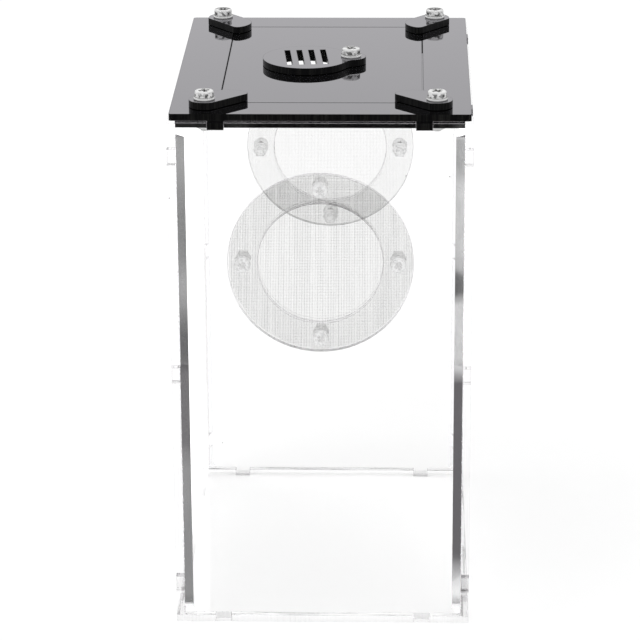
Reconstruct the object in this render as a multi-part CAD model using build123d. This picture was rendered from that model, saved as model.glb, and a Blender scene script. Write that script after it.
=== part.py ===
from build123d import *
from math import cos, hypot, radians, sin
import os

# A tall clear breeding tank with a black top, in millimetres. The origin is the middle of the
# underside, +X is to the right of the front wall, +Y runs from the front to the back, +Z is up.

# Tank
box_width = 150.0            # over the outside faces of the side walls
box_depth = 200.0            # over the outside faces of the front and back walls
wall_height = 263.0          # walls between the base and the black top
wall_thickness = 4.0         # clear sheet of the four walls
base_thickness = 3.5         # clear sheet of the base
black_thickness = 3.5        # black sheet of the frames, lid, latches and vent cover

# Tabs and notches that lock the sheets together
tab_width = 8.0              # length of each tab along its edge
tab_clearance = 0.1          # play of a tab in its notch and of a sheet between its neighbours
wall_tab_spacing = 114.0     # from the middle tab to the upper and lower tab of a front corner
front_tab_offset = 51.0      # front and back tabs from the middle of the tank
side_tab_offset = 70.0       # side tabs from the middle of the tank

# Clear corner bars, glued inside the four upright corners
bar_leg = 4.5                # leg of the triangular section
bar_bottom_gap = 3.0         # from the base to the lower end
bar_top_gap = 8.0            # from the upper end to the top of the walls

# Black top
frame_inset = 1.0            # upper frame inside the outer faces of the side walls
frame_corner_radius = 1.5
rim_width = 25.0             # from the outside of the walls to the lid's edges
lid_gap = 0.6                # seam between the lid and the upper frame
lid_ledge = 6.0              # lower frame that shows inside the lid's edge and carries it

# Feed hole in the lid and the cover that swings over it
feed_hole_diameter = 36.0
feed_hole_x = -10.5          # the hole from the middle of the lid
cover_pivot_x = 13.5         # the cover's screw from the middle of the lid
cover_diameter = 45.0
cover_arm = 23.0             # from the middle of the cover's disc to its screw
cover_boss_radius = 7.7
cover_neck_radius = 6.0      # hollow fillet between the disc and the boss
cover_swing = 5.0            # degrees that the closed cover is turned off square
slot_count = 4
slot_width = 2.9
slot_length = 29.0
slot_pitch = 6.15

# Corner latches
latch_end_radius = 7.7       # round end about the screw
latch_reach = 23.5           # from the screw to the tip
latch_lobe_radius = 12.0     # round tip that bears on the lid
latch_lobe_shift = 4.0       # middle of that arc towards the straight side
latch_heel_radius = 3.0      # small corner between the straight side and the arc
latch_standoff = 7.2         # screw outside the lid's edges, on both axes
front_latch_angle = 45.0     # degrees that the front latches point inwards from the X axis
back_latch_angle = 52.0      # the same for the back latches

# Moving sheets slide just clear of what they lie on, and turn on plain shanks
slide_clearance = 0.3        # below a latch or the cover
head_clearance = 0.2         # between a moving sheet and the screw head above it
pivot_clearance = 0.1        # radial, between a shank and each hole that it passes through
thread_clearance = 0.05      # radial, between a shank and the bore of its nut

# Screws and nuts of the latches and the vent cover
top_shank_diameter = 5.0
top_head_diameter = 10.6
top_head_height = 4.2
top_nut_width = 8.0          # across the flats
top_nut_height = 4.0
top_screw_length = 16.0

# Round vents in the front and back walls
vent_drop = 71.0             # vent's middle below the top of the walls
vent_opening_diameter = 62.0
vent_ring_diameter = 92.0
vent_ring_thickness = 3.0
mesh_thickness = 0.4
mesh_pitch = 6.0             # from one gap of the net to the next
mesh_wire = 1.7              # width of net between two gaps
vent_screw_count = 4
vent_shank_diameter = 4.0
vent_head_diameter = 8.2
vent_head_height = 3.1
vent_nut_width = 7.0
vent_nut_height = 3.2
vent_screw_length = 12.0

# Shapes shared by all screws and nuts
head_taper_share = 0.2       # how far a head draws in to its flat crown, over its height
thread_sides = 12            # flats of a threaded bore, and of a shank that nothing turns on

# Levels and places worked out from the sizes above
inner_width = box_width - 2 * wall_thickness
inner_depth = box_depth - 2 * wall_thickness
lid_width = box_width - 2 * rim_width
lid_length = box_depth - 2 * rim_width
wall_top = base_thickness + wall_height
lower_frame_bottom = wall_top - black_thickness
lid_top = wall_top + black_thickness
moving_bottom = lid_top + slide_clearance
head_seat = moving_bottom + black_thickness + head_clearance
wall_middle = wall_height / 2
vent_height = wall_height - vent_drop
vent_screw_radius = (vent_opening_diameter + vent_ring_diameter) / 4
latch_x = lid_width / 2 + latch_standoff
latch_y = lid_length / 2 + latch_standoff
top_hole_radius = top_shank_diameter / 2 + pivot_clearance
vent_hole_radius = vent_shank_diameter / 2 + pivot_clearance


def mirrored(x: float, y: float) -> list[Pos]:
    """The four places at plus and minus x and plus and minus y."""
    return [Pos(sx * x, sy * y) for sx in (-1, 1) for sy in (-1, 1)]


def cut_all(outline: Sketch, places: list[Pos], shape: Sketch) -> Sketch:
    """Takes one shape away from an outline at each place."""
    for place in places:
        outline -= place * shape
    return outline


def add_all(outline: Sketch, places: list[Pos], shape: Sketch) -> Sketch:
    """Adds one shape to an outline at each place."""
    for place in places:
        outline += place * shape
    return outline


# Clear tank

def base_panel() -> Part:
    """The clear base, with a notch in its edges for each tab of the walls."""
    outline = Rectangle(box_width, box_depth)
    notch_depth = wall_thickness + tab_clearance
    notch_width = tab_width + 2 * tab_clearance
    front_places = mirrored(front_tab_offset, (box_depth - notch_depth) / 2)
    side_places = mirrored((box_width - notch_depth) / 2, side_tab_offset)
    outline = cut_all(outline, front_places, Rectangle(notch_width, notch_depth))
    outline = cut_all(outline, side_places, Rectangle(notch_depth, notch_width))
    return extrude(outline, base_thickness)


def wall_outline(width: float, tab_offset: float) -> Sketch:
    """A wall between its plain edges, with base tabs below and notches for the lower frame above."""
    outline = Pos(0, wall_middle) * Rectangle(width, wall_height)
    notch_depth = black_thickness + tab_clearance
    notch = Rectangle(tab_width + 2 * tab_clearance, notch_depth)
    tab = Rectangle(tab_width, base_thickness)
    notch_places = [Pos(side * tab_offset, wall_height - notch_depth / 2) for side in (-1, 1)]
    tab_places = [Pos(side * tab_offset, -base_thickness / 2) for side in (-1, 1)]
    return add_all(cut_all(outline, notch_places, notch), tab_places, tab)


def corner_tab_heights() -> list[float]:
    """Heights of the three tabs along each upright edge of the front and back walls."""
    return [wall_middle + step * wall_tab_spacing for step in (-1, 0, 1)]


def end_wall_outline() -> Sketch:
    """The front or back wall: corner tabs at both edges and a round vent with its screw holes."""
    plain_width = inner_width - 2 * tab_clearance
    reach = wall_thickness + tab_clearance
    outline = wall_outline(plain_width, front_tab_offset)
    tab_places = [
        Pos(side * (box_width - reach) / 2, height)
        for side in (-1, 1)
        for height in corner_tab_heights()
    ]
    outline = add_all(outline, tab_places, Rectangle(reach, tab_width))
    outline -= Pos(0, vent_height) * Circle(vent_opening_diameter / 2)
    return cut_all(outline, vent_screw_places(), Circle(vent_hole_radius))


def side_wall_outline() -> Sketch:
    """A side wall, with a notch in its front and back edges for each corner tab."""
    notch_depth = wall_thickness + tab_clearance
    notch_places = [
        Pos(side * (box_depth - notch_depth) / 2, height)
        for side in (-1, 1)
        for height in corner_tab_heights()
    ]
    notch = Rectangle(notch_depth, tab_width + 2 * tab_clearance)
    return cut_all(wall_outline(box_depth, side_tab_offset), notch_places, notch)


def end_wall(side: int) -> Part:
    """The front wall (side -1) or the back wall (side 1), standing on the base."""
    outer_face = Plane.XZ.offset(-side * box_depth / 2)
    return Pos(0, 0, base_thickness) * extrude(outer_face * end_wall_outline(), side * wall_thickness)


def side_wall(side: int) -> Part:
    """The left wall (side -1) or the right wall (side 1), standing on the base."""
    outer_face = Plane.YZ.offset(side * box_width / 2)
    return Pos(0, 0, base_thickness) * extrude(outer_face * side_wall_outline(), -side * wall_thickness)


def corner_bar(side_x: int, side_y: int) -> Part:
    """A clear three-cornered bar in one upright corner, its long face towards the inside."""
    corner_x = side_x * inner_width / 2
    corner_y = side_y * inner_depth / 2
    section = make_face(Polyline(
        (corner_x, corner_y),
        (corner_x - side_x * bar_leg, corner_y),
        (corner_x, corner_y - side_y * bar_leg),
        close=True,
    ))
    length = wall_height - bar_bottom_gap - bar_top_gap
    return extrude(Pos(0, 0, base_thickness + bar_bottom_gap) * section, length, dir=(0, 0, 1))


# Black top

def lower_frame() -> Part:
    """The lower black sheet: it drops between the walls, its tabs in their notches."""
    outline = Rectangle(inner_width - 2 * tab_clearance, inner_depth - 2 * tab_clearance)
    reach = wall_thickness + tab_clearance
    front_places = mirrored(front_tab_offset, (box_depth - reach) / 2)
    side_places = mirrored((box_width - reach) / 2, side_tab_offset)
    outline = add_all(outline, front_places, Rectangle(tab_width, reach))
    outline = add_all(outline, side_places, Rectangle(reach, tab_width))
    outline -= Rectangle(lid_width - 2 * lid_ledge, lid_length - 2 * lid_ledge)
    outline = cut_all(outline, mirrored(latch_x, latch_y), Circle(top_hole_radius))
    return extrude(Pos(0, 0, lower_frame_bottom) * outline, black_thickness)


def upper_frame() -> Part:
    """The upper black sheet, on the side walls and the lower frame, open for the lid."""
    outline = RectangleRounded(box_width - 2 * frame_inset, inner_depth, frame_corner_radius)
    outline -= Rectangle(lid_width + 2 * lid_gap, lid_length + 2 * lid_gap)
    outline = cut_all(outline, mirrored(latch_x, latch_y), Circle(top_hole_radius))
    return extrude(Pos(0, 0, wall_top) * outline, black_thickness)


def lid_panel() -> Part:
    """The lift-out lid, with the feed hole and the hole for the cover's screw."""
    outline = Rectangle(lid_width, lid_length)
    outline -= Pos(feed_hole_x, 0) * Circle(feed_hole_diameter / 2)
    outline -= Pos(cover_pivot_x, 0) * Circle(top_hole_radius)
    return extrude(Pos(0, 0, wall_top) * outline, black_thickness)


def vent_cover() -> Part:
    """The round cover with its slots, swung on a boss about its screw."""
    disc = Pos(-cover_arm, 0) * Circle(cover_diameter / 2)
    outline = disc + Circle(cover_boss_radius)
    necks = [v for v in outline.vertices() if v.X < 0]
    outline = fillet(necks, cover_neck_radius)
    outline -= Circle(top_hole_radius)
    first = -slot_pitch * (slot_count - 1) / 2
    places = [Pos(first + n * slot_pitch - cover_arm, 0) for n in range(slot_count)]
    outline = cut_all(outline, places, Rectangle(slot_width, slot_length))
    place = Pos(cover_pivot_x, 0, moving_bottom) * Rot(0, 0, cover_swing)
    return place * extrude(outline, black_thickness)


def latch_outline() -> Sketch:
    """A latch about its screw: a round end, one straight side and a wide rounded tip."""
    eye = Circle(latch_end_radius)
    lobe = Pos(latch_reach - latch_lobe_radius, -latch_lobe_shift) * Circle(latch_lobe_radius)
    outline = make_hull((eye + lobe).edges())
    straight_side = Pos(0, -latch_end_radius) * Rectangle(
        4 * latch_reach, 2 * latch_reach, align=(Align.CENTER, Align.MIN))
    outline &= straight_side
    heel = outline.vertices().sort_by_distance((latch_reach, -latch_end_radius))[0]
    return fillet(heel, latch_heel_radius) - Circle(top_hole_radius)


def latch(side_x: int, side_y: int) -> Part:
    """One corner latch in its closed place, its straight side turned over on the right."""
    turn = front_latch_angle if side_y < 0 else -back_latch_angle
    piece = Rot(0, 0, turn) * extrude(latch_outline(), black_thickness)
    if side_x > 0:
        piece = mirror(piece, Plane.YZ)
    return Pos(side_x * latch_x, side_y * latch_y, moving_bottom) * piece


# Screws and nuts

def pan_head_screw(shank: Sketch, length: float, head: float, height: float) -> Part:
    """A pan head screw, its head above the XY plane and its shank, given by its section, below."""
    crown = head / 2 - height * head_taper_share
    return Cone(head / 2, crown, height, align=(Align.CENTER, Align.CENTER, Align.MIN)) + extrude(shank, -length)


def hex_nut(width: float, height: float, shank: float) -> Part:
    """A hexagon nut, its upper face on the XY plane, its bore just clear of a shank."""
    outline = RegularPolygon(width / 2, 6, major_radius=False)
    outline -= RegularPolygon(shank / 2 + thread_clearance, thread_sides, major_radius=False)
    return extrude(outline, -height)


def copies(piece: Part, places: list[Location]) -> Compound:
    """One like piece at each place, together in one file."""
    return Compound(children=[place * piece for place in places])


def top_screws() -> Compound:
    """The screws that the latches and the vent cover turn on."""
    shank = Circle(top_shank_diameter / 2)
    screw = pan_head_screw(shank, top_screw_length, top_head_diameter, top_head_height)
    places = mirrored(latch_x, latch_y) + [Pos(cover_pivot_x, 0)]
    return copies(screw, [Pos(0, 0, head_seat) * place for place in places])


def top_nuts() -> Compound:
    """The nuts of those screws, four under the lower frame and one under the lid."""
    nut = hex_nut(top_nut_width, top_nut_height, top_shank_diameter)
    places = [Pos(0, 0, lower_frame_bottom) * place for place in mirrored(latch_x, latch_y)]
    return copies(nut, places + [Pos(cover_pivot_x, 0, wall_top)])


# Vents

def vent_screw_places() -> list[Pos]:
    """Screw places round a vent, in the plane of its wall."""
    turns = [360 / vent_screw_count * n for n in range(vent_screw_count)]
    return [
        Pos(vent_screw_radius * cos(radians(turn)), vent_height + vent_screw_radius * sin(radians(turn)))
        for turn in turns
    ]


def on_wall(side: int, lift: float) -> Location:
    """Places a piece drawn on the XY plane, its +Z outwards, at a lift off the outer face of a wall."""
    half_turn = Rot(0, 0, 90 + 90 * side)
    return half_turn * Pos(0, -box_depth / 2 - lift, base_thickness) * Rot(90, 0, 0)


def vent_mesh(side: int) -> Part:
    """The net of one vent, clamped between its ring and the wall."""
    outline = Pos(0, vent_height) * Circle(vent_ring_diameter / 2)
    outline = cut_all(outline, vent_screw_places(), Rectangle(2 * vent_hole_radius, 2 * vent_hole_radius))
    half = int(vent_opening_diameter / mesh_pitch)
    steps = [(n + 0.5) * mesh_pitch for n in range(-half, half)]
    gap = mesh_pitch - mesh_wire
    limit = vent_opening_diameter / 2
    places = [
        Pos(x, vent_height + z)
        for x in steps
        for z in steps
        if hypot(abs(x) + gap / 2, abs(z) + gap / 2) < limit
    ]
    outline -= Sketch() + [place * Rectangle(gap, gap) for place in places]
    return on_wall(side, 0) * extrude(outline, mesh_thickness)


def vent_ring(side: int) -> Part:
    """The clear ring that clamps the net to the outer face of a wall."""
    outline = Pos(0, vent_height) * (Circle(vent_ring_diameter / 2) - Circle(vent_opening_diameter / 2))
    outline = cut_all(outline, vent_screw_places(), Circle(vent_hole_radius))
    return on_wall(side, mesh_thickness) * extrude(outline, vent_ring_thickness)


def vent_screws() -> Compound:
    """The screws of both vents, their heads on the rings."""
    shank = RegularPolygon(vent_shank_diameter / 2, thread_sides)
    screw = pan_head_screw(shank, vent_screw_length, vent_head_diameter, vent_head_height)
    seats = [on_wall(side, mesh_thickness + vent_ring_thickness) for side in (-1, 1)]
    return copies(screw, [seat * place for seat in seats for place in vent_screw_places()])


def vent_nuts() -> Compound:
    """The nuts of both vents, on the inner faces of the walls."""
    nut = hex_nut(vent_nut_width, vent_nut_height, vent_shank_diameter)
    seats = [on_wall(side, -wall_thickness) for side in (-1, 1)]
    return copies(nut, [seat * place for seat in seats for place in vent_screw_places()])


def build_pieces() -> dict[str, Part | Compound]:
    """Every piece of the tank, under the name of its file."""
    pieces: dict[str, Part | Compound] = {
        "base_panel": base_panel(),
        "front_panel": end_wall(-1),
        "back_panel": end_wall(1),
        "left_side_panel": side_wall(-1),
        "right_side_panel": side_wall(1),
        "lower_frame": lower_frame(),
        "upper_frame": upper_frame(),
        "lid_panel": lid_panel(),
        "vent_cover": vent_cover(),
        "top_screws": top_screws(),
        "top_nuts": top_nuts(),
        "vent_screws": vent_screws(),
        "vent_nuts": vent_nuts(),
    }
    corners = {(-1, -1): "front_left", (1, -1): "front_right", (-1, 1): "back_left", (1, 1): "back_right"}
    for (side_x, side_y), name in corners.items():
        pieces[f"{name}_corner_bar"] = corner_bar(side_x, side_y)
        pieces[f"{name}_latch"] = latch(side_x, side_y)
    for side, name in ((-1, "front"), (1, "back")):
        pieces[f"{name}_vent_mesh"] = vent_mesh(side)
        pieces[f"{name}_vent_ring"] = vent_ring(side)
    return pieces


if __name__ == "__main__":
    os.makedirs("parts", exist_ok=True)
    for node, shape in build_pieces().items():
        export_step(shape, f"parts/{node}.step")
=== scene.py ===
"""Dresses the clear tank with the black top and sets it in a white studio.

Lengths in the dataclasses are millimetres, and every mesh is made in metres in the frame of the tank:
the origin is the middle of its underside, +X to the right of the front wall, +Y to the back, +Z up.
"""

import logging
from collections.abc import Callable
from dataclasses import dataclass
from enum import Enum
from math import cos, hypot, radians, sin

import bmesh
import bpy
from mathutils import Matrix, Vector

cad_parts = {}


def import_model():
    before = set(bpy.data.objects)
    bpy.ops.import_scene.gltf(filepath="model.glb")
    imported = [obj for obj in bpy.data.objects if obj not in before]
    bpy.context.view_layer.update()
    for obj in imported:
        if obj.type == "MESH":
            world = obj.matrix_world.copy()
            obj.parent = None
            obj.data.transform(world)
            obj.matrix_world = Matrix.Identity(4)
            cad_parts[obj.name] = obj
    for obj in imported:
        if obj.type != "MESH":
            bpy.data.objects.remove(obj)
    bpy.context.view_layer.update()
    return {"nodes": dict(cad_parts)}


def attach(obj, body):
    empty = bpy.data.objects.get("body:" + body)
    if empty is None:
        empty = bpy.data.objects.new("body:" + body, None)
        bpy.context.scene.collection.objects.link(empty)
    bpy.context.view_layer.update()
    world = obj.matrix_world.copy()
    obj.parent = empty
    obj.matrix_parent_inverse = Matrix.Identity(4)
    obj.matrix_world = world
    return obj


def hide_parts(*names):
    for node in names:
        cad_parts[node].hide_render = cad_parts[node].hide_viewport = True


MM = 0.001
SMOOTH_ANGLE = 35.0  # degrees: flatter bends are shaded smooth
EDGE_SLOPE = 0.7  # the cosine that parts the cut edges of a sheet from its faces
UPRIGHT = 0.9  # slope from which a face counts as facing along Z
CORNER_BEND = (0.995, 0.9)  # cosines between which a corner line comes up
CORNER_SAMPLES = 4
CUT_LENGTH = 40.0  # millimetres that a laser line runs before it changes
CUT_CONTRAST = (0.45, 0.7)
LET_THROUGH = "#FEFEFE"  # what a clear surface lets through of the lamp's light
LOG = logging.getLogger("tank")

Tree = bpy.types.NodeTree
Socket = bpy.types.NodeSocket
Material = bpy.types.Material
Piece = bpy.types.Object
Range = tuple[float, float]


class Element(Enum):
    """What an edit-mode selection is made of."""

    CORNER = "VERT"
    EDGE = "EDGE"
    FACE = "FACE"


class Axis(Enum):
    """The direction that a flat sheet faces."""

    X = (1.0, 0.0, 0.0)
    Y = (0.0, 1.0, 0.0)
    Z = (0.0, 0.0, 1.0)


# Nodes

def linear(colour: str) -> tuple[float, float, float, float]:
    """Turns an sRGB hex colour to linear.

    Args:
        colour: Six hex digits after a hash sign.

    Returns:
        Linear red, green and blue, and an alpha of 1.
    """
    parts = [int(colour[n:n + 2], 16) / 255 for n in (1, 3, 5)]
    red, green, blue = (p / 12.92 if p <= 0.04045 else ((p + 0.055) / 1.055) ** 2.4 for p in parts)
    return red, green, blue, 1.0


def node(tree: Tree, kind: str, inputs: dict | None = None, **settings: object) -> bpy.types.Node:
    """Adds a node with its settings, and sets or links its inputs.

    Args:
        tree: The node tree of a material or of the world.
        kind: The node's type name.
        inputs: Plain values and output sockets, by the name or number of the input that they feed.
        **settings: The node's own properties.

    Returns:
        The new node.
    """
    made = tree.nodes.new(kind)
    for name, value in settings.items():
        setattr(made, name, value)
    for name, value in (inputs or {}).items():
        if isinstance(value, Socket):
            tree.links.new(value, made.inputs[name])
        else:
            made.inputs[name].default_value = value
    return made


def calc(tree: Tree, operation: str, first: Socket, second: Socket | float = 0.0,
         clamp: bool = False) -> Socket:
    """Works out one value from one or two others.

    Args:
        tree: The node tree.
        operation: What the Math node does.
        first: The first value.
        second: The second value, where the operation needs one.
        clamp: Whether the result is kept between 0 and 1.

    Returns:
        The result.
    """
    made = node(tree, "ShaderNodeMath", {0: first, 1: second}, operation=operation, use_clamp=clamp)
    return made.outputs[0]


def spread(tree: Tree, value: Socket, source: Range = (0.0, 1.0), target: Range = (0.0, 1.0)) -> Socket:
    """Maps one range of values evenly to another, and keeps what lies outside at its ends.

    Args:
        tree: The node tree.
        value: The value to map.
        source: The ends of its range.
        target: What those ends become.

    Returns:
        The mapped value.
    """
    return node(tree, "ShaderNodeMapRange", dict(enumerate((value, *source, *target)))).outputs[0]


def dot(tree: Tree, first: Socket, second: Socket | tuple[float, float, float]) -> Socket:
    """Multiplies two vectors to one number."""
    return node(tree, "ShaderNodeVectorMath", {0: first, 1: second}, operation="DOT_PRODUCT").outputs["Value"]


def component(tree: Tree, vector: Socket, letter: str) -> Socket:
    """Takes the X, Y or Z of a vector."""
    return node(tree, "ShaderNodeSeparateXYZ", {0: vector}).outputs[letter]


def geometry(tree: Tree, name: str) -> Socket:
    """Takes one output of a Geometry node."""
    return node(tree, "ShaderNodeNewGeometry").outputs[name]


def noise(tree: Tree, place: Socket, size: float, detail: float) -> Socket:
    """Adds noise whose grain has one size, in millimetres, in all directions."""
    made = node(tree, "ShaderNodeTexNoise", {"Scale": 1 / (size * MM), "Detail": detail, "Vector": place})
    return made.outputs["Fac"]


def drawn_noise(tree: Tree, place: Socket, sizes: tuple[float, ...], detail: float,
                roughness: float = 0.5) -> Socket:
    """Adds noise whose grain is drawn out.

    Args:
        tree: The node tree.
        place: Object coordinates.
        sizes: The size of the grain along X, Y and Z, in millimetres.
        detail: How many finer layers it has.
        roughness: How strong those are.

    Returns:
        The noise.
    """
    scale = tuple(1 / (size * MM) for size in sizes)
    drawn = node(tree, "ShaderNodeMapping", {"Scale": scale, "Vector": place}).outputs[0]
    grain = {"Scale": 1.0, "Detail": detail, "Roughness": roughness, "Vector": drawn}
    return node(tree, "ShaderNodeTexNoise", grain).outputs["Fac"]


def blend(tree: Tree, share: Socket, low: Socket | str, high: Socket | str) -> Socket:
    """Mixes two colours.

    Args:
        tree: The node tree.
        share: How much there is of the second colour.
        low: The first colour, a socket or an sRGB hex colour.
        high: The second colour.

    Returns:
        The mixed colour.
    """
    first, second = (linear(end) if isinstance(end, str) else end for end in (low, high))
    return node(tree, "ShaderNodeMix", {0: share, 6: first, 7: second}, data_type="RGBA").outputs[2]


def bumped(tree: Tree, height: Socket, strength: float, depth: float) -> Socket:
    """Turns a height to a bumped normal, its full depth in millimetres."""
    inputs = {"Strength": strength, "Distance": depth * MM, "Height": height}
    return node(tree, "ShaderNodeBump", inputs).outputs[0]


def matt(tree: Tree, colour: Socket | str) -> Socket:
    """Adds a matt shader of a colour, which is a socket or an sRGB hex colour."""
    value = linear(colour) if isinstance(colour, str) else colour
    return node(tree, "ShaderNodeBsdfDiffuse", {"Color": value}).outputs[0]


def layered(tree: Tree, share: Socket | float, under: Socket, over: Socket) -> Socket:
    """Mixes two shaders, with a share of the second."""
    return node(tree, "ShaderNodeMixShader", {0: share, 1: under, 2: over}).outputs[0]


def surface(tree: Tree, shader: Socket) -> None:
    """Ends a material."""
    node(tree, "ShaderNodeOutputMaterial", {"Surface": shader})


def fresh_material(name: str) -> tuple[Material, Tree, Socket]:
    """Starts a material.

    Args:
        name: The material's name.

    Returns:
        The material, its node tree and its object coordinates.
    """
    material = bpy.data.materials.new(name)
    material.use_nodes = True
    tree = material.node_tree
    tree.nodes.clear()
    return material, tree, node(tree, "ShaderNodeTexCoord").outputs["Object"]


# Modelling

def begin() -> None:
    """Leaves nothing selected, ready for a new primitive."""
    bpy.ops.object.select_all(action="DESELECT")


def activate(pieces: list[Piece]) -> None:
    """Selects some pieces and no others.

    Args:
        pieces: The pieces, of which the first becomes the active one.
    """
    begin()
    for piece in pieces:
        piece.select_set(True)
    bpy.context.view_layer.objects.active = pieces[0]


def newest(name: str) -> Piece:
    """Names the primitive just added and sets its place into its mesh.

    Args:
        name: The piece's name.

    Returns:
        The object, at the origin.
    """
    made = bpy.context.object
    made.name = made.data.name = name
    bpy.ops.object.transform_apply(location=True, rotation=True, scale=True)
    return made


def pick(piece: Piece, kind: Element, test: Callable[[object], bool]) -> None:
    """Selects the corners, edges or faces of a piece in edit mode that pass a test.

    Args:
        piece: The object that is open in edit mode.
        kind: What to select.
        test: Says of one corner, edge or face whether it is selected.
    """
    bpy.ops.mesh.select_mode(type=kind.value)
    bpy.ops.mesh.select_all(action="DESELECT")
    mesh = bmesh.from_edit_mesh(piece.data)
    groups = {Element.CORNER: mesh.verts, Element.EDGE: mesh.edges, Element.FACE: mesh.faces}
    for item in groups[kind]:
        item.select_set(bool(test(item)))
    mesh.select_flush_mode()
    bmesh.update_edit_mesh(piece.data)


def cylinder(name: str, sides: int, width: float, length: float, place: tuple[float, float, float],
             turn: tuple[float, float, float] = (0.0, 0.0, 0.0)) -> Piece:
    """Adds a cylinder.

    Args:
        name: Its name.
        sides: How many flats it has.
        width: Its diameter, in millimetres.
        length: Its length along Z, in millimetres.
        place: Its middle, in millimetres.
        turn: Its rotation about X, Y and Z, in degrees.

    Returns:
        The cylinder.
    """
    begin()
    bpy.ops.mesh.primitive_cylinder_add(vertices=sides, radius=width / 2 * MM, depth=length * MM,
                                        location=[part * MM for part in place],
                                        rotation=[radians(part) for part in turn])
    return newest(name)


def apply_modifier(piece: Piece, kind: str, **settings: object) -> None:
    """Adds a modifier and applies it.

    Args:
        piece: The object that is changed.
        kind: The modifier's type name.
        **settings: The modifier's properties.
    """
    activate([piece])
    modifier = piece.modifiers.new(kind, kind)
    for name, value in settings.items():
        setattr(modifier, name, value)
    bpy.ops.object.modifier_apply(modifier=modifier.name)


def carve(piece: Piece, cutter: Piece) -> None:
    """Takes a cutter's shape away from a piece, and removes the cutter."""
    apply_modifier(piece, "BOOLEAN", operation="DIFFERENCE", solver="EXACT", object=cutter)
    bpy.data.objects.remove(cutter)


def joined(pieces: list[Piece], name: str) -> Piece:
    """Joins objects to one.

    Args:
        pieces: The objects, each with its own mesh.
        name: The name of the one that is left.

    Returns:
        The joined object.
    """
    activate(pieces)
    bpy.ops.object.join()
    pieces[0].name = pieces[0].data.name = name
    return pieces[0]


def copied(piece: Piece, place: Matrix) -> Piece:
    """Copies a piece with its own mesh, moved to a place.

    Args:
        piece: The object that is modelled once.
        place: Where the copy goes, in metres.

    Returns:
        The copy, with its place in its mesh.
    """
    twin = piece.copy()
    twin.data = piece.data.copy()
    twin.data.transform(place)
    bpy.context.collection.objects.link(twin)
    return twin


def finish_piece(piece: Piece, material: Material, replaces: str) -> None:
    """Smooths a fixed piece, gives it its material and lets it stand for its solid.

    Args:
        piece: The finished object.
        material: Its material.
        replaces: The solid that it stands for.
    """
    activate([piece])
    bpy.ops.object.shade_smooth_by_angle(angle=radians(SMOOTH_ANGLE))
    piece.data.materials.clear()
    piece.data.materials.append(material)
    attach(piece, "tank")
    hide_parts(replaces)
    LOG.info("%s: %d faces", piece.name, len(piece.data.polygons))


# Finishes

def edge_share(tree: Tree, facing: Axis) -> Socket:
    """Finds the cut edges of a flat sheet.

    Args:
        tree: The material's node tree.
        facing: The direction that the sheet faces.

    Returns:
        A socket that is 1 on the cut edges and 0 on the two faces.
    """
    steep = calc(tree, "ABSOLUTE", dot(tree, geometry(tree, "True Normal"), facing.value))
    return calc(tree, "LESS_THAN", steep, EDGE_SLOPE)


def corner_lines(tree: Tree, width: float) -> Socket:
    """Finds the sharp corners of a piece.

    Args:
        tree: The material's node tree.
        width: How far a line reaches from its corner, in millimetres.

    Returns:
        A socket that is 1 on the corners and 0 away from them.
    """
    rounded = node(tree, "ShaderNodeBevel", {"Radius": width * MM}, samples=CORNER_SAMPLES).outputs[0]
    return spread(tree, dot(tree, geometry(tree, "True Normal"), rounded), CORNER_BEND)


def cut_lines(tree: Tree, place: Socket, pitch: float) -> Socket:
    """Draws the lines that a laser leaves on a cut edge, straight through the sheet.

    Args:
        tree: The material's node tree.
        place: Object coordinates.
        pitch: Spacing of the lines, in millimetres.

    Returns:
        A socket from 0 to 1.
    """
    return spread(tree, drawn_noise(tree, place, (pitch, pitch, CUT_LENGTH), 3.0, 0.6), CUT_CONTRAST)


def clear_surface(tree: Tree, shader: Socket) -> None:
    """Ends a clear material so that it lets the lamp's light straight through.

    Args:
        tree: The material's node tree.
        shader: What the eye sees of it.
    """
    passing = node(tree, "ShaderNodeBsdfTransparent", {"Color": linear(LET_THROUGH)}).outputs[0]
    shadow = node(tree, "ShaderNodeLightPath").outputs["Is Shadow Ray"]
    surface(tree, layered(tree, shadow, shader, passing))


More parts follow.
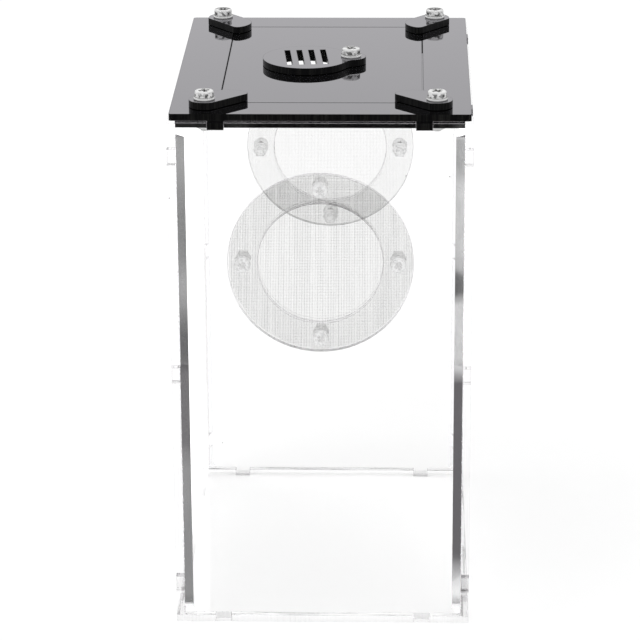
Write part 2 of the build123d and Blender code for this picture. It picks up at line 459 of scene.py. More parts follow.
@dataclass(frozen=True)
class ClearSheet:
    """Cast clear sheet, laser-cut: polished faces that hardly show, and fine grey lines painted at the corners.
    """

    name: str
    facing: Axis
    tint: str = "#FFFFFF"  # what one face lets through
    ior: float = 1.49  # the usual index of cast clear sheet
    edge_tint: str = "#F0ECF2"  # a cut edge scatters a little light
    edge_haze: Range = (0.02, 0.12)  # how much it scatters between the laser's lines and on them
    cut_pitch: float = 0.9  # laser lines are 0.2 mm apart, drawn coarser so that they show
    line_tint: str = "#767274"
    line_width: float = 0.42  # a painted grey line stands for the view that a sharp corner bends aside
    line_share: float = 0.52  # how strong that line is
    line_breaks: Range = (0.6, 1.25)  # and what the laser's lines make of it
    shade_tint: str = "#2E2C2E"  # painted reflection: dark lines painted on edges that face down stand for the dark things they mirror
    shade_full: float = 0.25  # a dark line this strong has all of that tint
    dark_from: float = 0.54  # how rare the painted dark lines are
    dark_fade: float = 0.05
    dark_share: Range = (0.03, 0.8)  # how strong an edge is between them and on them
    dash: float = 40.0  # length of the dark lines
    dash_width: float = 1.4
    dots: Range = (0.45, 1.0)  # the laser's lines break them into dots
    down: Range = (-0.3, -0.95)  # slopes between which an edge comes to face down
    foot: Range = (0.5, 1.5)  # heights between which the dark lines come up
    up: float = 0.9  # slope from which an edge faces up
    strip_from: float = 98.6  # where the painted bright strip on an upper edge begins, from the tank's middle
    strip_fade: float = 0.1
    strip_share: float = 0.17
    speck_spacing: float = 24.0  # stray dust on the faces
    speck_size: float = 0.3

    def painted_dark_dashes(self, tree: Tree, place: Socket, streaks: Socket) -> Socket:
        """Works out where an edge that faces down shows thin dark lines, painted for the dark things it
        mirrors.

        Args:
            tree: The material's node tree.
            place: Object coordinates.
            streaks: The laser's lines, from 0 to 1.

        Returns:
            0 on edges that face up or sideways, and up to 0.8 in lines along those that face down.
        """
        side = spread(tree, geometry(tree, "Backfacing"), target=(1.0, -1.0))
        outwards = calc(tree, "MULTIPLY", component(tree, geometry(tree, "True Normal"), "Z"), side)
        sizes = tuple(self.dash_width if part else self.dash for part in self.facing.value)
        stripes = drawn_noise(tree, place, sizes, 1.0)
        share = spread(tree, stripes, (self.dark_from, self.dark_from + self.dark_fade), self.dark_share)
        dotted = spread(tree, streaks, target=self.dots)
        dotted = calc(tree, "MULTIPLY", dotted, spread(tree, outwards, self.down))
        lifted = spread(tree, component(tree, place, "Z"), (self.foot[0] * MM, self.foot[1] * MM))
        return calc(tree, "MULTIPLY", share, calc(tree, "MULTIPLY", dotted, lifted))

    def painted_edge_strip(self, tree: Tree, place: Socket, haze: Socket) -> Socket:
        """Keeps the light of an edge that faces up to a painted bright strip along its outer corner.

        Args:
            tree: The material's node tree.
            place: Object coordinates.
            haze: How much light the other edges scatter.

        Returns:
            How much light the edge scatters.
        """
        level = calc(tree, "GREATER_THAN", component(tree, geometry(tree, "True Normal"), "Z"), self.up)
        away = calc(tree, "ABSOLUTE", dot(tree, place, self.facing.value))
        strip = (self.strip_from * MM, (self.strip_from + self.strip_fade) * MM)
        outer = spread(tree, away, strip, (0.0, self.strip_share))
        return node(tree, "ShaderNodeMix", {0: level, 2: haze, 3: outer}).outputs[0]

    def lines(self, tree: Tree, place: Socket, streaks: Socket) -> Socket:
        """Works out how strongly the painted corner lines and the dust show.

        Args:
            tree: The material's node tree.
            place: Object coordinates.
            streaks: The laser's lines, from 0 to 1, which break up the lines at the corners.

        Returns:
            The share of the painted lines and the dust specks.
        """
        corner = calc(tree, "MULTIPLY", corner_lines(tree, self.line_width), self.line_share)
        line = calc(tree, "MULTIPLY", corner, spread(tree, streaks, target=self.line_breaks), clamp=True)
        dust = node(tree, "ShaderNodeTexVoronoi", {"Scale": 1 / (self.speck_spacing * MM), "Vector": place})
        speck = calc(tree, "LESS_THAN", dust.outputs["Distance"], self.speck_size / self.speck_spacing)
        return calc(tree, "MAXIMUM", line, speck)

    def material(self) -> Material:
        """Builds the material.

        Returns:
            Clear sheet that faces along one axis.
        """
        material, tree, place = fresh_material(self.name)
        edge = edge_share(tree, self.facing)
        streaks = cut_lines(tree, place, self.cut_pitch)
        # Painted reflection: dark dashes on the edges that face down
        dark = calc(tree, "MULTIPLY", self.painted_dark_dashes(tree, place, streaks), edge)
        # Painted highlight: a bright strip along the outer corner of edges that face up
        haze = self.painted_edge_strip(tree, place, spread(tree, streaks, target=self.edge_haze))
        own = calc(tree, "MAXIMUM", calc(tree, "MULTIPLY", haze, edge), dark)
        # Painted grey lines at the sharp corners, standing for the view they bend aside, with real dust specks
        line = self.lines(tree, place, streaks)
        grey = blend(tree, spread(tree, dark, (0.0, self.shade_full)), self.edge_tint, self.shade_tint)
        body = matt(tree, blend(tree, line, grey, self.line_tint))
        clear = node(tree, "ShaderNodeBsdfTransparent", {"Color": linear(self.tint)}).outputs[0]
        sheet = layered(tree, calc(tree, "MAXIMUM", own, line), clear, body)
        shine = node(tree, "ShaderNodeFresnel", {"IOR": self.ior}).outputs[0]
        dull = calc(tree, "MAXIMUM", geometry(tree, "Backfacing"), edge)
        polished = calc(tree, "SUBTRACT", shine, dull, clamp=True)
        gloss = node(tree, "ShaderNodeBsdfGlossy", {"Color": linear("#FFFFFF"), "Roughness": 0.0}).outputs[0]
        mirror = node(tree, "ShaderNodeMixShader", {0: polished, 2: gloss}).outputs[0]
        clear_surface(tree, node(tree, "ShaderNodeAddShader", {0: sheet, 1: mirror}).outputs[0])
        return material


@dataclass(frozen=True)
class ClearRod:
    """Clear three-cornered rod, extruded: glossy, and its long face turns the view aside like a prism."""

    tint: str = "#FAFAFB"
    ior: float = 1.49
    shine: float = 0.3
    ripple: float = 22.0  # drawing the rod leaves slow waves along it
    ripple_depth: float = 0.3
    ripple_strength: float = 0.18

    def material(self) -> Material:
        """Builds the material.

        Returns:
            Clear extruded rod.
        """
        material, tree, place = fresh_material("extruded_clear_rod")
        waves = noise(tree, place, self.ripple, 2.0)
        body = node(tree, "ShaderNodeBsdfPrincipled",
                    {"Transmission Weight": 1.0, "IOR": self.ior, "Roughness": 0.0,
                     "Specular IOR Level": self.shine, "Base Color": linear(self.tint),
                     "Normal": bumped(tree, waves, self.ripple_strength, self.ripple_depth)})
        clear_surface(tree, body.outputs[0])
        return material


@dataclass(frozen=True)
class BlackSheet:
    """Glossy black cast sheet, laser-cut: a deep mirror on its faces, dull cut edges streaked with painted
    highlights, and dark lines painted at the corners.
    """

    tint: str = "#060607"
    edge_tint: str = "#020203"
    painted_edge_highlight: str = "#1E1E1C"  # painted highlight where a laser line catches the light
    edge_roughness: float = 0.3
    edge_shine: float = 0.12
    line_tint: str = "#030303"
    line_width: float = 0.6  # a dark line painted at the sharp corner of a face, which mirrors nothing there
    line_share: float = 0.4
    mirror_tint: str = "#FAF7FF"  # the sheet's faint mauve cast
    ior: float = 1.49
    gloss: float = 0.02
    gloss_change: float = 0.02  # handling dulls the polish in places
    gloss_size: float = 35.0
    coat: float = 0.7
    coat_ior: float = 1.5
    cut_pitch: float = 0.8  # laser lines are 0.2 mm apart, drawn coarser so that they show

    def material(self) -> Material:
        """Builds the material.

        Returns:
            Black sheet that lies flat.
        """
        material, tree, place = fresh_material("cast_black_sheet")
        edge = edge_share(tree, Axis.Z)
        haze = noise(tree, place, self.gloss_size, 3.0)
        rough = spread(tree, haze, target=(self.gloss, self.gloss + self.gloss_change))
        face = node(tree, "ShaderNodeBsdfPrincipled",
                    {"Base Color": linear(self.tint), "Roughness": rough, "IOR": self.ior,
                     "Specular Tint": linear(self.mirror_tint), "Coat Tint": linear(self.mirror_tint),
                     "Coat Weight": self.coat, "Coat Roughness": self.gloss,
                     "Coat IOR": self.coat_ior}).outputs[0]
        # Painted highlights along the laser's lines on the cut edges
        streak = blend(tree, cut_lines(tree, place, self.cut_pitch), self.edge_tint, self.painted_edge_highlight)
        side = node(tree, "ShaderNodeBsdfPrincipled",
                    {"Roughness": self.edge_roughness, "IOR": self.ior, "Specular IOR Level": self.edge_shine,
                     "Base Color": streak}).outputs[0]
        # Painted dark lines at the sharp corners of the faces
        flat = calc(tree, "SUBTRACT", corner_lines(tree, self.line_width), edge, clamp=True)
        line = calc(tree, "MULTIPLY", flat, self.line_share)
        surface(tree, layered(tree, line, layered(tree, edge, face, side), matt(tree, self.line_tint)))
        return material


@dataclass(frozen=True)
class ClearMoulding:
    """Moulded clear plastic of the screws and nuts: painted bright rims, and painted dark sparks for what the
    facets inside reflect.
    """

    name: str
    solid: float  # share of the surface that throws light back instead of bending it
    painted_glow_share: float  # share of that colour given off as painted glow, for the surround's light carried through the body
    dark: str  # painted reflection of the duller facets
    painted_hollow_shade: float  # how dark the painted shade in hollows is
    bright: str = "#FFFFFF"  # painted reflection: facets inside throw the bright surround back
    tint: str = "#FFFFFF"
    ior: float = 1.585  # the usual index of polycarbonate
    roughness: float = 0.03
    painted_glow_strength: float = 0.85
    spark: float = 0.9  # size of the facets that the thread and recess show
    spark_depth: float = 0.25
    spark_strength: float = 0.5
    flash: Range = (0.1, 0.65)  # tones between which a facet turns from dark to bright
    dark_low: float = -1000.0  # painted dark facets lie between these heights
    dark_high: float = 1000.0
    dark_core: float = 0.3  # share of that height in which they are fully dark
    turned: float = 0.35  # how soon a surface counts as turned away
    band_place: float = 0.67  # how far it turns away where the dark band lies
    band_width: float = 0.04
    band_light: float = 0.25  # what light the painted dark band keeps
    rim: Range = (0.75, 0.85)  # how far it turns away where the painted bright outline comes up
    line_tint: str = "#5A5856"
    line_width: float = 0.28
    line_share: float = 0.5
    hollow_reach: float = 2.2
    hollow_samples: int = 6
    hollow_from: Range = (0.88, 0.55)  # open sky between which the painted shade of hollows comes up

    def facets(self, tree: Tree, place: Socket, tone: Socket) -> Socket:
        """Works out the painted reflections of the facets.

        Args:
            tree: The material's node tree.
            place: Object coordinates.
            tone: A random tone for each facet.

        Returns:
            A painted colour, bright at the outline and on most facets, with a dark band inside the outline.
        """
        middle, reach = (self.dark_low + self.dark_high) / 2 * MM, (self.dark_high - self.dark_low) / 2 * MM
        offset = calc(tree, "ABSOLUTE", calc(tree, "SUBTRACT", component(tree, place, "Z"), middle))
        outside = spread(tree, offset, (self.dark_core * reach, reach))
        flash = calc(tree, "MAXIMUM", spread(tree, tone, self.flash), outside)
        rim = node(tree, "ShaderNodeLayerWeight", {"Blend": self.turned}).outputs["Facing"]
        band = {0: rim, 1: self.band_place, 2: self.band_width}
        inside = node(tree, "ShaderNodeMath", band, operation="COMPARE").outputs[0]
        light = calc(tree, "MINIMUM", flash, spread(tree, inside, target=(1.0, self.band_light)))
        light = calc(tree, "MAXIMUM", light, spread(tree, rim, self.rim))
        return blend(tree, light, self.dark, self.bright)

    def shade(self, tree: Tree) -> Socket:
        """Works out how dark the painted shade in the corners and hollows is.

        Args:
            tree: The material's node tree.

        Returns:
            The share of the painted dark tone.
        """
        # Painted dark lines at the corners, and painted shade in hollows from local occlusion
        line = calc(tree, "MULTIPLY", corner_lines(tree, self.line_width), self.line_share)
        reach = {"Distance": self.hollow_reach * MM}
        sky = node(tree, "ShaderNodeAmbientOcclusion", reach, samples=self.hollow_samples, only_local=True)
        deep = spread(tree, sky.outputs["AO"], self.hollow_from, (0.0, self.painted_hollow_shade))
        return calc(tree, "MAXIMUM", line, deep)

    def material(self) -> Material:
        """Builds the material.

        Returns:
            Clear moulded plastic.
        """
        material, tree, place = fresh_material(self.name)
        cells = node(tree, "ShaderNodeTexVoronoi", {"Scale": 1 / (self.spark * MM), "Vector": place})
        tone = component(tree, cells.outputs["Color"], "X")
        body = node(tree, "ShaderNodeBsdfPrincipled",
                    {"Transmission Weight": 1.0, "IOR": self.ior, "Roughness": self.roughness,
                     "Base Color": linear(self.tint),
                     "Normal": bumped(tree, tone, self.spark_strength, self.spark_depth)}).outputs[0]
        # Painted reflections of the facets, shown on the matt share and in the emitted share
        colour = self.facets(tree, place, tone)
        # Painted glow: an emission stands for the surround's light carried through the body
        painted_glow = node(tree, "ShaderNodeEmission", {"Strength": self.painted_glow_strength, "Color": colour}).outputs[0]
        lit = layered(tree, self.solid, body, layered(tree, self.painted_glow_share, matt(tree, colour), painted_glow))
        # Painted shade in the corners and hollows over the lit surface
        clear_surface(tree, layered(tree, self.shade(tree), lit, matt(tree, self.line_tint)))
        return material


@dataclass(frozen=True)
class DrawnWire:
    """Drawn stainless steel wire: soft grey, a little brighter where the weave turns up."""

    name: str
    low: str = "#B4B4B2"
    high: str = "#F0F0EE"
    contrast: Range = (0.35, 0.65)
    roughness: float = 0.45
    streak: float = 0.9  # drawing leaves streaks along the wire
    streak_length: float = 60.0

    def material(self) -> Material:
        """Builds the material.

        Returns:
            Steel wire.
        """
        material, tree, place = fresh_material(self.name)
        streaks = drawn_noise(tree, place, (self.streak, self.streak, self.streak_length), 2.0)
        colour = blend(tree, spread(tree, streaks, self.contrast), self.low, self.high)
        body = {"Metallic": 1.0, "Roughness": self.roughness, "Base Color": colour}
        surface(tree, node(tree, "ShaderNodeBsdfPrincipled", body).outputs[0])
        return material


# Sub-assemblies

@dataclass(frozen=True)
class Screw:
    """A pan head screw with a cross recess and a thread, modelled once with its head above the XY plane."""

    shank: float
    head: float
    height: float
    length: float
    pitch: float
    recess: float  # length of each slot of the cross
    crown: float = 0.98  # width of the crown over that of the head's foot
    crown_bevel: float = 0.16  # share of the height that the crown's rounding takes
    crown_profile: float = 0.6
    flange_share: float = 0.28  # height of the flange under the head
    flange_inset: float = 0.5  # shares of the flange's height
    flange_bevel: float = 0.35
    slot_depth: float = 0.72  # share of the head's height
    slot_spare: float = 1.0  # how far its cutter stands out of the head
    slot_width: float = 0.34  # share of the slot's length
    slot_floor: Range = (0.45, 0.6)  # length and width of the slot's floor over those at the crown
    thread_depth: float = 1.1  # in pitches, on the diameter
    sides: int = 36
    shank_sides: int = 20

    def build_head(self) -> Piece:
        """Models the rounded head with its recess.

        Returns:
            The head.
        """
        flange = self.height * self.flange_share
        head = cylinder("head", self.sides, self.head, flange, (0, 0, flange / 2))
        bpy.ops.object.mode_set(mode="EDIT")
        pick(head, Element.FACE, lambda f: f.normal.z > UPRIGHT)
        bpy.ops.mesh.inset(thickness=flange * self.flange_inset * MM)
        bpy.ops.mesh.extrude_region_move(TRANSFORM_OT_translate={"value": (0, 0, (self.height - flange) * MM)})
        bpy.ops.transform.resize(value=(self.crown, self.crown, 1), center_override=(0, 0, self.height * MM))
        top, foot = self.height * MM * 0.999, self.head * 0.49 * MM
        pick(head, Element.EDGE, lambda e: all(v.co.z > top for v in e.verts))
        bpy.ops.mesh.bevel(offset=self.height * self.crown_bevel * MM, segments=4, profile=self.crown_profile)
        pick(head, Element.EDGE, lambda e: all(v.co.xy.length > foot for v in e.verts)
             and e.verts[0].co.z == e.verts[1].co.z)
        bpy.ops.mesh.bevel(offset=flange * self.flange_bevel * MM, segments=2)
        bpy.ops.object.mode_set(mode="OBJECT")
        for turn in (0, 90):
            carve(head, self.build_slot(turn))
        return head

    def build_slot(self, turn: float) -> Piece:
        """Models the cutter of one slot of the cross, which narrows towards its floor.

        Args:
            turn: The slot's direction, in degrees.

        Returns:
            The cutter.
        """
        deep, wide = self.height * self.slot_depth, self.recess * self.slot_width
        middle = self.height + (self.slot_spare - deep) / 2
        begin()
        bpy.ops.mesh.primitive_cube_add(size=1, location=(0, 0, middle * MM),
                                        scale=(self.recess * MM, wide * MM, (deep + self.slot_spare) * MM))
        slot = newest("slot")
        bpy.ops.object.mode_set(mode="EDIT")
        pick(slot, Element.CORNER, lambda v: v.co.z < (self.height - deep / 2) * MM)
        bpy.ops.transform.resize(value=(*self.slot_floor, 1), center_override=(0, 0, 0))
        bpy.ops.object.mode_set(mode="OBJECT")
        slot.data.transform(Matrix.Rotation(radians(turn), 4, "Z"))
        return slot

    def build_shank(self) -> Piece:
        """Models the threaded shank, its thread as even rings because its lead is too small to show.

        Returns:
            The shank.
        """
        turns = round(self.length / self.pitch)
        shank = cylinder("shank", self.shank_sides, self.shank, self.length, (0, 0, -self.length / 2))
        bpy.ops.object.mode_set(mode="EDIT")
        pick(shank, Element.EDGE, lambda e: abs(e.verts[0].co.z - e.verts[1].co.z) > self.length / 2 * MM)
        bpy.ops.mesh.subdivide(number_cuts=2 * turns - 1)
        step = self.length / (2 * turns) * MM
        pick(shank, Element.CORNER, lambda v: round(-v.co.z / step) % 2 == 0 and v.co.z < -step / 2)
        root = 1 - self.thread_depth * self.pitch / self.shank
        bpy.ops.transform.resize(value=(root, root, 1), center_override=(0, 0, 0))
        bpy.ops.object.mode_set(mode="OBJECT")
        return shank

    def build(self, name: str) -> Piece:
        """Models the whole screw.

        Args:
            name: The screw's name.

        Returns:
            The screw, its head's underside on the XY plane.
        """
        return joined([self.build_head(), self.build_shank()], name)


@dataclass(frozen=True)
class Nut:
    """A chamfered hexagon nut, its upper face on the XY plane."""

    width: float
    height: float
    bore: float
    bore_sides: int = 20
    chamfer: float = 0.12  # how far in the chamfer begins, as a share of the height
    chamfer_drop: float = 0.86  # height at the corners over that of the nut

    def build(self, name: str) -> Piece:
        """Models the nut.

        Args:
            name: The nut's name.

        Returns:
            The nut.
        """
        corners = self.width / cos(radians(30))
        nut = cylinder(name, 6, corners, self.height, (0, 0, -self.height / 2), (0, 0, 30))
        bpy.ops.object.mode_set(mode="EDIT")
        pick(nut, Element.FACE, lambda f: abs(f.normal.z) > UPRIGHT)
        bpy.ops.mesh.inset(thickness=self.height * self.chamfer * MM)
        middle, flat, inner = self.height / 2 * MM, self.height / 2 * 0.98 * MM, self.width / 2 * MM * 1.03
        pick(nut, Element.CORNER, lambda v: abs(v.co.z + middle) > flat and v.co.xy.length > inner)
        bpy.ops.transform.resize(value=(1, 1, self.chamfer_drop), center_override=(0, 0, -middle))
        bpy.ops.object.mode_set(mode="OBJECT")
        carve(nut, cylinder("bore", self.bore_sides, self.bore, 3 * self.height, (0, 0, -self.height / 2)))
        return nut


@dataclass
class TopFasteners:
    """The five screws that the latches and the vent cover turn on, and their nuts."""

    latch_x: float = 57.2
    latch_y: float = 82.2
    cover_x: float = 13.5
    seat: float = 274.0  # height of the heads' undersides
    frame_underside: float = 263.0
    lid_underside: float = 266.5
    screw: Screw = Screw(shank=5.0, head=10.6, height=4.2, length=16.0, pitch=0.8, recess=6.4)
    nut: Nut = Nut(width=8.0, height=4.0, bore=5.1)
    recess_turns: tuple[float, ...] = (20.0, 48.0, 33.0, 8.0, 62.0)

    def build(self, material: Material) -> None:
        """Models the screws and nuts and puts them in the top.

        Args:
            material: Their clear plastic.
        """
        corners = [(x, y) for x in (-self.latch_x, self.latch_x) for y in (-self.latch_y, self.latch_y)]
        places = corners + [(self.cover_x, 0.0)]
        screw, nut = self.screw.build("top_screw"), self.nut.build("top_nut")
        screws, nuts = [], []
        for (x, y), turn in zip(places, self.recess_turns):
            place = Matrix.Translation(Vector((x, y, self.seat)) * MM)
            screws.append(copied(screw, place @ Matrix.Rotation(radians(turn), 4, "Z")))
            under = self.lid_underside if y == 0 else self.frame_underside
            nuts.append(copied(nut, Matrix.Translation(Vector((x, y, under)) * MM)))
        for pattern, copies, solid in ((screw, screws, "top_screws"), (nut, nuts, "top_nuts")):
            bpy.data.objects.remove(pattern)
            finish_piece(joined(copies, f"clear_{solid}"), material, solid)


@dataclass
class VentFasteners:
    """The four screws and nuts that clamp each vent's ring and net to its wall."""

    centre_z: float = 195.5
    radius: float = 38.5  # from the vent's middle to each screw
    head_seat: float = 103.4  # distances from the tank's middle
    nut_seat: float = 96.0
    screw: Screw = Screw(shank=4.0, head=8.2, height=3.1, length=12.0, pitch=0.7, recess=4.6)
    nut: Nut = Nut(width=7.0, height=3.2, bore=4.1)
    recess_turn: float = 31.0  # no two neighbours are tightened alike
    recess_gain: float = 1.7

    def build(self, material: Material) -> None:
        """Models the screws and nuts and puts them round both vents.

        Args:
            material: Their clear plastic.
        """
        screw, nut = self.screw.build("vent_screw"), self.nut.build("vent_nut")
        screws, nuts = [], []
        for side in (-1, 1):
            outwards = Matrix.Rotation(radians(90 + 90 * side), 4, "Z") @ Matrix.Rotation(radians(90), 4, "X")
            for turn in (0, 90, 180, 270):
                x, z = self.radius * cos(radians(turn)), self.centre_z + self.radius * sin(radians(turn))
                spin = Matrix.Rotation(radians(self.recess_turn + self.recess_gain * turn), 4, "Z")
                at_head = Matrix.Translation(Vector((x, side * self.head_seat, z)) * MM)
                at_nut = Matrix.Translation(Vector((x, side * self.nut_seat, z)) * MM)
                screws.append(copied(screw, at_head @ outwards @ spin))
                nuts.append(copied(nut, at_nut @ outwards))
        for pattern, copies, solid in ((screw, screws, "vent_screws"), (nut, nuts, "vent_nuts")):
            bpy.data.objects.remove(pattern)
            finish_piece(joined(copies, f"clear_{solid}"), material, solid)


@dataclass
class WovenNet:
    """A round net of plain-woven wire, clamped between a vent's ring and its wall.

    The real net's gaps look about half a millimetre wide. Drawn a little coarser, its wires show.
    """

    side: int  # -1 on the front wall, 1 on the back wall
    radius: float = 45.8
    pitch: float = 0.8
    wire: float = 0.13
    centre_z: float = 195.5
    middle_y: float = 100.2
    screw_radius: float = 38.5
    hole: float = 2.3  # radius cleared round each screw

    def build_wire(self, row: int) -> Piece:
        """Models one wire along X, bent over and under at each crossing.

        Args:
            row: Its place from the middle of the net, in pitches. Neighbours bend opposite ways.

        Returns:
            The wire, on the XY plane.
        """
        half = round(self.radius / self.pitch) + 1
        wire = cylinder("wire", 4, self.wire, 2 * half * self.pitch, (0, row * self.pitch, 0), (0, 90, 0))
        bpy.ops.object.mode_set(mode="EDIT")
        pick(wire, Element.EDGE, lambda e: abs(e.verts[0].co.x - e.verts[1].co.x) > self.pitch * MM)
        bpy.ops.mesh.subdivide(number_cuts=2 * half - 1)
        for odd, lift in ((0, 1), (1, -1)):
            pick(wire, Element.CORNER, lambda v: (round(v.co.x / (self.pitch * MM)) + row) % 2 == odd)
            bpy.ops.transform.translate(value=(0, 0, lift * self.wire / 2 * MM))
        bpy.ops.object.mode_set(mode="OBJECT")
        return wire

    def build(self, name: str, material: Material, replaces: str) -> None:
        """Weaves the net, cuts it round and sets it on its wall.

        Args:
            name: The net's name.
            material: Its wire.
            replaces: The solid that it stands for.
        """
        half = round(self.radius / self.pitch) // 2 + 1
        first = 2 * -half
        weft = joined([self.build_wire(first), self.build_wire(first + 1)], "weft")
        apply_modifier(weft, "ARRAY", count=2 * half, use_relative_offset=False, use_constant_offset=True,
                       constant_offset_displace=(0, 2 * self.pitch * MM, 0))
        warp = copied(weft, Matrix.Translation((self.pitch * MM, 0, 0)) @ Matrix.Rotation(radians(90), 4, "Z"))
        net = joined([weft, warp], name)
        bpy.ops.object.mode_set(mode="EDIT")
        screws = [(0, 1), (1, 0), (0, -1), (-1, 0)]
        pick(net, Element.CORNER, lambda v: v.co.xy.length > self.radius * MM or any(
            hypot(v.co.x - x * self.screw_radius * MM, v.co.y - y * self.screw_radius * MM) < self.hole * MM
            for x, y in screws))
        bpy.ops.mesh.delete(type="VERT")
        bpy.ops.mesh.select_all(action="SELECT")
        bpy.ops.mesh.fill_holes(sides=4)
        bpy.ops.object.mode_set(mode="OBJECT")
        place = Vector((0, self.side * self.middle_y, self.centre_z)) * MM
        net.data.transform(Matrix.Translation(place) @ Matrix.Rotation(radians(90), 4, "X"))
        finish_piece(net, material, replaces)


@dataclass
class ClearTank:
    """The clear sheets, corner rods and vent rings, which keep their solids and get their finishes."""

    ends: tuple[str, ...] = ("front_panel", "back_panel")
    rings: tuple[str, ...] = ("front_vent_ring", "back_vent_ring")
    sides: tuple[str, ...] = ("left_side_panel", "right_side_panel")
    base: tuple[str, ...] = ("base_panel",)
    rods: tuple[str, ...] = ("front_left_corner_bar", "front_right_corner_bar", "back_left_corner_bar",
                             "back_right_corner_bar")

    def dress(self, nodes: dict[str, Piece]) -> None:
        """Gives each clear solid its finish.

        Args:
            nodes: The solids by name.
        """
        # The ends' painted corner lines and dark dashes are stronger than the default, and the rings' stronger
        # and darker still
        end = ClearSheet("clear_cast_sheet_end", Axis.Y, dark_from=0.5, line_share=0.64)
        ring = ClearSheet("clear_cast_sheet_ring", Axis.Y, tint="#FAFAFA", dark_from=0.3, line_share=0.95,
                          line_tint="#504C4E")
        side = ClearSheet("clear_cast_sheet_side", Axis.X, strip_from=73.6)
        base = ClearSheet("clear_cast_sheet_base", Axis.Z)
        for names, finish in ((self.ends, end), (self.rings, ring), (self.sides, side), (self.base, base),
                              (self.rods, ClearRod())):
            assign(nodes, names, finish.material())


@dataclass
class BlackTop:
    """The two frames, the lid, the four latches and the vent cover, all of one black sheet."""

    pieces: tuple[str, ...] = ("lower_frame", "upper_frame", "lid_panel", "vent_cover", "front_left_latch",
                               "front_right_latch", "back_left_latch", "back_right_latch")

    def dress(self, nodes: dict[str, Piece]) -> None:
        """Gives each black solid its finish.

        Args:
            nodes: The solids by name.
        """
        assign(nodes, self.pieces, BlackSheet().material())


def assign(nodes: dict[str, Piece], names: tuple[str, ...], material: Material) -> None:
    """Puts a material in the material slots of some solids.

    Args:
        nodes: The solids by name.
        names: Those that get the material.
        material: The material.
    """
    for name in names:
        solid = nodes[name]
        if not solid.material_slots:
            solid.data.materials.append(material)
        for slot in solid.material_slots:
            slot.material = material
        LOG.info("%s: %s", name, material.name)


# Studio

class Tone(Enum):
    """Tones of the painted reflections: a darker floor beyond the paper and the cards on it, which only
    mirrored rays see.
    """

    WHITE = "#F8F8F8"
    LIGHT = "#B8B8B8"
    MIDDLE = "#969696"
    DUSKY = "#6E6C6E"
    DARK = "#202020"


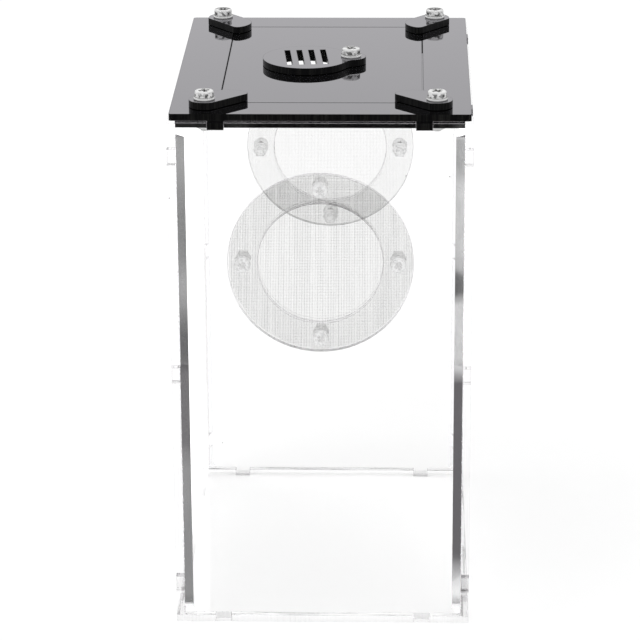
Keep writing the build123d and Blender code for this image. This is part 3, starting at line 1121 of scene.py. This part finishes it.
@dataclass
class Studio:
    """A white paper floor and surround with soft light.

    For mirrored rays only, the paper floor gives off painted tones of a darker floor with cards on it, away
    from the tank. The prisms and mirroring faces show these painted reflections as the grey bands in the corner
    rods.
    Its layout is a guess at the real studio.
    """

    floor_size: float = 9000.0
    floor_drop: float = 0.2  # keeps the paper clear of the base
    floor_colour: str = "#FDFDFD"
    grain: float = 60.0
    surround: float = 1.0  # what the surround gives to matt surfaces
    # Painted reflections: tones from left to right that only mirrored rays see on the floor
    mirrored: tuple[tuple[float, float, Tone], ...] = (
        (-1000, -650, Tone.MIDDLE), (-600, -580, Tone.LIGHT), (-500, -460, Tone.DARK), (-420, -310, Tone.DUSKY),
        (-270, -85, Tone.MIDDLE), (-80, 80, Tone.DARK), (85, 105, Tone.WHITE), (150, 410, Tone.DUSKY),
        (455, 555, Tone.WHITE), (580, 620, Tone.DARK), (640, 760, Tone.LIGHT))
    drift: float = 14.0  # how far the cards' edges waver to either side
    drift_size: float = 90.0
    turnover: float = 30.0  # how far to the front and back the cards fade into white
    lamp_size: float = 2400.0
    lamp_power: float = 9.0  # watts
    lamp_place: tuple[float, float, float] = (-800.0, -900.0, 2600.0)
    lamp_aim: tuple[float, float, float] = (0.0, 0.0, 100.0)

    def painted_reflected_floor(self, tree: Tree, place: Socket) -> Socket:
        """Maps the painted reflection tones that mirrored rays meet on the floor, from left to right in front
        of the tank.

        Args:
            tree: The floor's node tree.
            place: Object coordinates.

        Returns:
            A colour socket.
        """
        stops = [(across, tone) for start, end, tone in self.mirrored for across in (start, end)]
        first, last = stops[0][0], stops[-1][0]
        waver = noise(tree, place, self.drift_size, 2.0)
        bent = spread(tree, waver, target=(-self.drift * MM, self.drift * MM))
        moved = calc(tree, "ADD", component(tree, place, "X"), bent)
        ramp = node(tree, "ShaderNodeValToRGB", {0: spread(tree, moved, (first * MM, last * MM))})
        elements = ramp.color_ramp.elements
        while len(elements) < len(stops):
            elements.new(0.5)
        for element, (across, _) in zip(elements, stops):
            element.position = (across - first) / (last - first)
        for element, (_, tone) in zip(elements, stops):
            element.color = linear(tone.value)
        behind = spread(tree, component(tree, place, "Y"), (-self.turnover * MM, self.turnover * MM))
        return blend(tree, behind, ramp.outputs[0], Tone.WHITE.value)

    def build_floor(self) -> None:
        """Lays a wide matt floor just under the tank, which gives off painted reflection tones to mirrored
        rays.
        """
        begin()
        bpy.ops.mesh.primitive_plane_add(size=self.floor_size * MM, location=(0, 0, -self.floor_drop * MM))
        floor = newest("floor")
        material, tree, place = fresh_material("matt_white_paper_and_painted_reflections")
        paper = matt(tree, blend(tree, noise(tree, place, self.grain, 3.0), self.floor_colour, "#FFFFFF"))
        # Painted reflections: mirrored rays see emitted tones on the floor instead of the paper
        cards = node(tree, "ShaderNodeEmission", {"Color": self.painted_reflected_floor(tree, place)}).outputs[0]
        depth = node(tree, "ShaderNodeLightPath").outputs["Glossy Depth"]
        surface(tree, layered(tree, calc(tree, "GREATER_THAN", depth, 0.5), paper, cards))
        floor.data.materials.append(material)

    def build_surround(self) -> None:
        """Makes the world white to the eye, with a strength of its own for the light on matt surfaces."""
        world = bpy.data.worlds.new("white_surround")
        bpy.context.scene.world = world
        world.use_nodes = True
        tree = world.node_tree
        tree.nodes.clear()
        rays = node(tree, "ShaderNodeLightPath").outputs
        seen = calc(tree, "MAXIMUM", rays["Is Camera Ray"], rays["Is Glossy Ray"])
        seen = calc(tree, "MAXIMUM", seen, rays["Is Transmission Ray"])
        strength = spread(tree, seen, target=(self.surround, 1.0))
        light = node(tree, "ShaderNodeBackground", {"Color": linear("#FFFFFF"), "Strength": strength})
        node(tree, "ShaderNodeOutputWorld", {"Surface": light.outputs[0]})

    def build_lamp(self) -> None:
        """Hangs one wide soft lamp above and to the left."""
        data = bpy.data.lights.new("soft_key", "AREA")
        data.shape = "RECTANGLE"
        data.size = data.size_y = self.lamp_size * MM
        data.energy = self.lamp_power
        lamp = bpy.data.objects.new("soft_key", data)
        bpy.context.collection.objects.link(lamp)
        lamp.location = Vector(self.lamp_place) * MM
        lamp.rotation_euler = (Vector(self.lamp_aim) * MM - lamp.location).to_track_quat("-Z", "Y").to_euler()
        lamp.visible_glossy = lamp.visible_transmission = False

    def build(self) -> None:
        """Sets up the studio."""
        self.build_floor()
        self.build_surround()
        self.build_lamp()


@dataclass
class PhotoCamera:
    """The photograph's camera, fitted to corners of the tank that the photograph shows."""

    place: tuple[float, float, float] = (42.45, -1562.36, 687.31)
    pitch: float = 19.648  # degrees below the horizon
    yaw: float = -1.678
    roll: float = -0.332
    lens: float = 175.70
    sensor: float = 36.0
    clip: Range = (0.05, 30.0)  # metres

    def build(self) -> None:
        """Makes the camera and sets it as the scene's."""
        data = bpy.data.cameras.new("photo_camera")
        data.sensor_width = self.sensor
        data.lens = self.lens
        data.clip_start, data.clip_end = self.clip
        camera = bpy.data.objects.new("photo_camera", data)
        bpy.context.collection.objects.link(camera)
        turn = Matrix.Rotation(radians(-self.yaw), 4, "Z") @ Matrix.Rotation(radians(90 - self.pitch), 4, "X")
        camera.matrix_world = (Matrix.Translation(Vector(self.place) * MM) @ turn
                               @ Matrix.Rotation(radians(self.roll), 4, "Z"))
        bpy.context.scene.camera = camera


def main() -> None:
    """Loads the tank's solids, dresses them and sets up the studio."""
    logging.basicConfig(level=logging.INFO, format="%(message)s")
    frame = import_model()
    bpy.context.scene.view_settings.view_transform = "Standard"
    nodes = frame["nodes"]
    ClearTank().dress(nodes)
    BlackTop().dress(nodes)
    # The thick screws get a painted dark band in the head and deep painted shade in hollows; the thin ones are
    # nearly all painted glow
    thick = ClearMoulding("clear_polycarbonate", solid=0.72, painted_glow_share=0.3, dark="#343434", painted_hollow_shade=0.95,
                          line_tint="#383634", spark=1.4, dark_low=274.8, dark_high=277.9)
    thin = ClearMoulding("clear_polycarbonate_thin_painted_glow", solid=0.97, painted_glow_share=0.92, dark="#E2E2E2", painted_hollow_shade=0.15)
    TopFasteners().build(thick.material())
    VentFasteners().build(thin.material())
    wire = DrawnWire("drawn_steel_wire")
    # The back net's wire is the same steel painted paler, as painted light from the bright backdrop behind it
    painted_lit_wire = DrawnWire("drawn_steel_wire_painted_lit_back", low="#F2F2F0", high="#FFFFFF")
    WovenNet(side=-1).build("front_woven_net", wire.material(), "front_vent_mesh")
    WovenNet(side=1, wire=0.09).build("back_woven_net", painted_lit_wire.material(), "back_vent_mesh")
    Studio().build()
    PhotoCamera().build()


if __name__ == "__main__":
    main()
